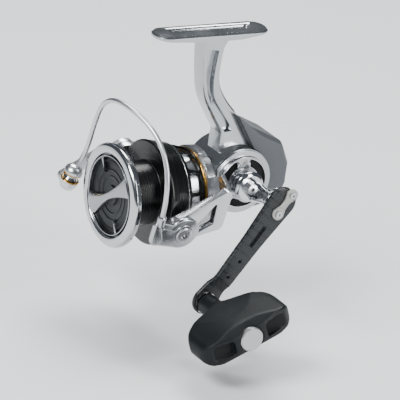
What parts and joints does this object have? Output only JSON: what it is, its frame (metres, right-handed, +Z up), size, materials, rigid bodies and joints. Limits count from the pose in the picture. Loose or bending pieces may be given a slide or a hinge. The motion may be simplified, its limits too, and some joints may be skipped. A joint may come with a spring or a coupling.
{
  "type": "spinning reel",
  "caption": "Open-face spinning reel with a wire bail on a two-armed rotor, a skirted spool under a large front drag knob, and a side crank with a T-shaped grip.",
  "frame": {"origin": "centre of the flat top of the foot, where it lies against the rod", "axes": "+Z up out of the foot into the rod; -Y forward along the spool's axis, towards the rod's tip; +X towards the handle"},
  "size_m": [0.1357, 0.1043, 0.1357],
  "materials": {
    "satin_silver": "satin metallic paint",
    "guard_grey": "matt",
    "black_trim": "gloss",
    "polished_lip": "polished",
    "gold": "anodised gold",
    "bright_metal": "polished",
    "brushed": "brushed",
    "steel": "turned",
    "zinc": "die cast",
    "brass": "cut",
    "carbon": "woven carbon sheet",
    "bone_plate": "satin",
    "soft_grip": "matt",
    "dark_disc": "ribbed",
    "click_plastic": "matt",
    "felt": "pressed felt",
    "seal": "soft"
  },
  "bodies": {
    "body": {"body_housing": "satin_silver", "side_cover": "satin_silver", "side_cover_screws": "steel", "cover_seal": "seal", "rear_guard": "guard_grey", "shaft_cap": "black_trim", "drive_bearings": "steel", "pinion_bearing": "steel", "pinion_bush": "satin_silver", "clutch_housing": "steel", "clutch_rollers": "steel", "clutch_retainer": "steel", "retainer_screws": "steel", "guide_rod": "steel", "oscillation_axle": "steel"},
    "handle": {"drive_gear": "zinc", "drive_shaft": "steel", "handle_hub": "bright_metal", "handle_screw": "steel", "handle_neck": "bright_metal", "handle_arm": "carbon", "arm_clamp_plate": "bone_plate", "arm_screws": "steel", "knob_spindle": "bright_metal"},
    "grip": {"knob_grip": "soft_grip", "knob_cap": "brushed", "knob_bearings": "steel"},
    "crank_gear": {"oscillation_gear": "zinc"},
    "shaft": {"main_shaft": "steel", "slider": "satin_silver", "keyed_drag_washers": "steel", "click_ratchet": "click_plastic"},
    "rotor": {"pinion": "brass", "clutch_sleeve": "steel", "rotor": "satin_silver", "rotor_nut": "steel", "bail_pivot_screws": "steel", "arm_cover": "black_trim", "bail_spring": "steel"},
    "trip": {"trip_lever": "steel"},
    "bail": {"bail_lever": "brushed", "bail_wire": "bright_metal", "bail_roller_arm": "brushed", "roller_screw": "steel", "roller_bearing": "steel"},
    "guide": {"line_roller": "bright_metal"},
    "spool": {"spool": "black_trim", "spool_lip": "polished_lip", "spool_trim_ring": "gold", "spool_bearing": "steel", "felt_drag_washers": "felt", "eared_drag_washer": "steel", "drag_clip": "steel", "click_pawl": "black_trim"},
    "drag": {"drag_knob": "dark_disc", "drag_knob_bar": "brushed", "drag_nut": "steel", "drag_spring_washers": "steel"}
  },
  "joints": [
    {"name": "handle_turn", "type": "hinge", "parent": "body", "child": "handle", "pos_m": [0, 0.0216, -0.0767], "axis": [1, 0, 0], "continuous": true},
    {"name": "knob_spin", "type": "hinge", "parent": "handle", "child": "grip", "pos_m": [0.06, -0.01435, -0.12193], "axis": [1, 0, 0], "continuous": true},
    {"name": "crank_gear_spin", "type": "hinge", "parent": "body", "child": "crank_gear", "pos_m": [0, 0.03397, -0.0798], "axis": [1, 0, 0], "continuous": true},
    {"name": "spool_slide", "type": "slide", "parent": "body", "child": "shaft", "axis": [0, -1, 0], "range_m": [0, 0.011]},
    {"name": "spool_spin", "type": "hinge", "parent": "shaft", "child": "spool", "pos_m": [0, -0.03, -0.0834], "axis": [0, 1, 0], "continuous": true},
    {"name": "drag_knob_turn", "type": "hinge", "parent": "shaft", "child": "drag", "pos_m": [0, -0.044, -0.0834], "axis": [0, 1, 0], "range_deg": [-90, 720]},
    {"name": "rotor_spin", "type": "hinge", "parent": "body", "child": "rotor", "pos_m": [0, 0, -0.0834], "axis": [0, 1, 0], "continuous": true},
    {"name": "bail_open", "type": "hinge", "parent": "rotor", "child": "bail", "pos_m": [0, -0.0212, -0.0834], "axis": [0.9659, 0, -0.2588], "range_deg": [0, 85]},
    {"name": "trip_turn", "type": "hinge", "parent": "rotor", "child": "trip", "pos_m": [-0.02674, -0.0017, -0.08659], "axis": [-0.9659, 0, 0.2588], "range_deg": [0, 12.75]},
    {"name": "line_roller_spin", "type": "hinge", "parent": "bail", "child": "guide", "pos_m": [-0.03157, -0.0487, -0.08529], "axis": [-0.2549, -0.1736, -0.9513], "continuous": true}
  ],
  "couplings": [
    {"joint": "rotor_spin", "follows": "handle_turn", "ratio": 4.625},
    {"joint": "crank_gear_spin", "follows": "handle_turn", "ratio": -0.61905},
    {"joint": "trip_turn", "follows": "bail_open", "ratio": 0.15}
  ]
}
